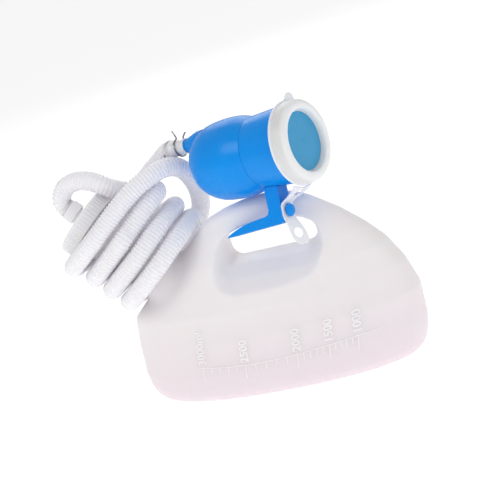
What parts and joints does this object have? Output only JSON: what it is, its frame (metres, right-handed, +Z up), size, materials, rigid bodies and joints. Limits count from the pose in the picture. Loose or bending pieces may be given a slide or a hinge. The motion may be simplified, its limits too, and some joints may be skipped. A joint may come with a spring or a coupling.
{
  "type": "urine bottle",
  "caption": "Handled urine bottle with a coiled hose from its screw cap to a lidded mouthpiece that hooks over the handle",
  "frame": {"origin": "middle of the bottle's flat base", "axes": "+Z up; +X along the bottle, away from its neck; -Y the front, which carries the volume scale"},
  "size_m": [0.3171, 0.1307, 0.2559],
  "materials": {
    "bottle": "translucent milky",
    "cap": "translucent cream",
    "gasket": "matt",
    "hose": "clear milky, corrugated",
    "funnel": "gloss blue",
    "lid": "translucent milky",
    "clamp": "satin wire"
  },
  "bodies": {
    "bottle": {"bottle": "bottle", "cap_cuff": "hose", "hose_coil": "hose", "hose_lead": "hose"},
    "cap_lift": {"cap_gasket": "gasket"},
    "cap": {"screw_cap": "cap"},
    "mouthpiece": {"funnel_bowl": "funnel", "funnel_sleeve": "funnel", "handle_hook": "funnel", "funnel_cuff": "hose", "hose_clamp": "clamp", "lid_strap": "lid"},
    "lid": {"lid": "lid"}
  },
  "joints": [
    {"name": "cap_lift", "type": "slide", "parent": "bottle", "child": "cap_lift", "axis": [-0.6428, 0, 0.766], "range_m": [0, 0.004]},
    {"name": "cap_turn", "type": "hinge", "parent": "cap_lift", "child": "cap", "pos_m": [-0.1487, 0, 0.1895], "axis": [-0.6428, 0, 0.766], "range_deg": [0, 360]},
    {"name": "mouthpiece_off_handle", "type": "slide", "parent": "bottle", "child": "mouthpiece", "axis": [0.9532, -0.2914, 0.0802], "range_m": [0, 0.03], "deforming": ["hose_lead"]},
    {"name": "lid_hinge", "type": "hinge", "parent": "mouthpiece", "child": "lid", "pos_m": [0.07575, -0.03283, 0.17947], "axis": [0.302, 0.9061, -0.2964], "range_deg": [0, 100]}
  ],
  "couplings": [
    {"joint": "cap_lift", "follows": "cap_turn", "m_per_rad": 0.00063662}
  ]
}
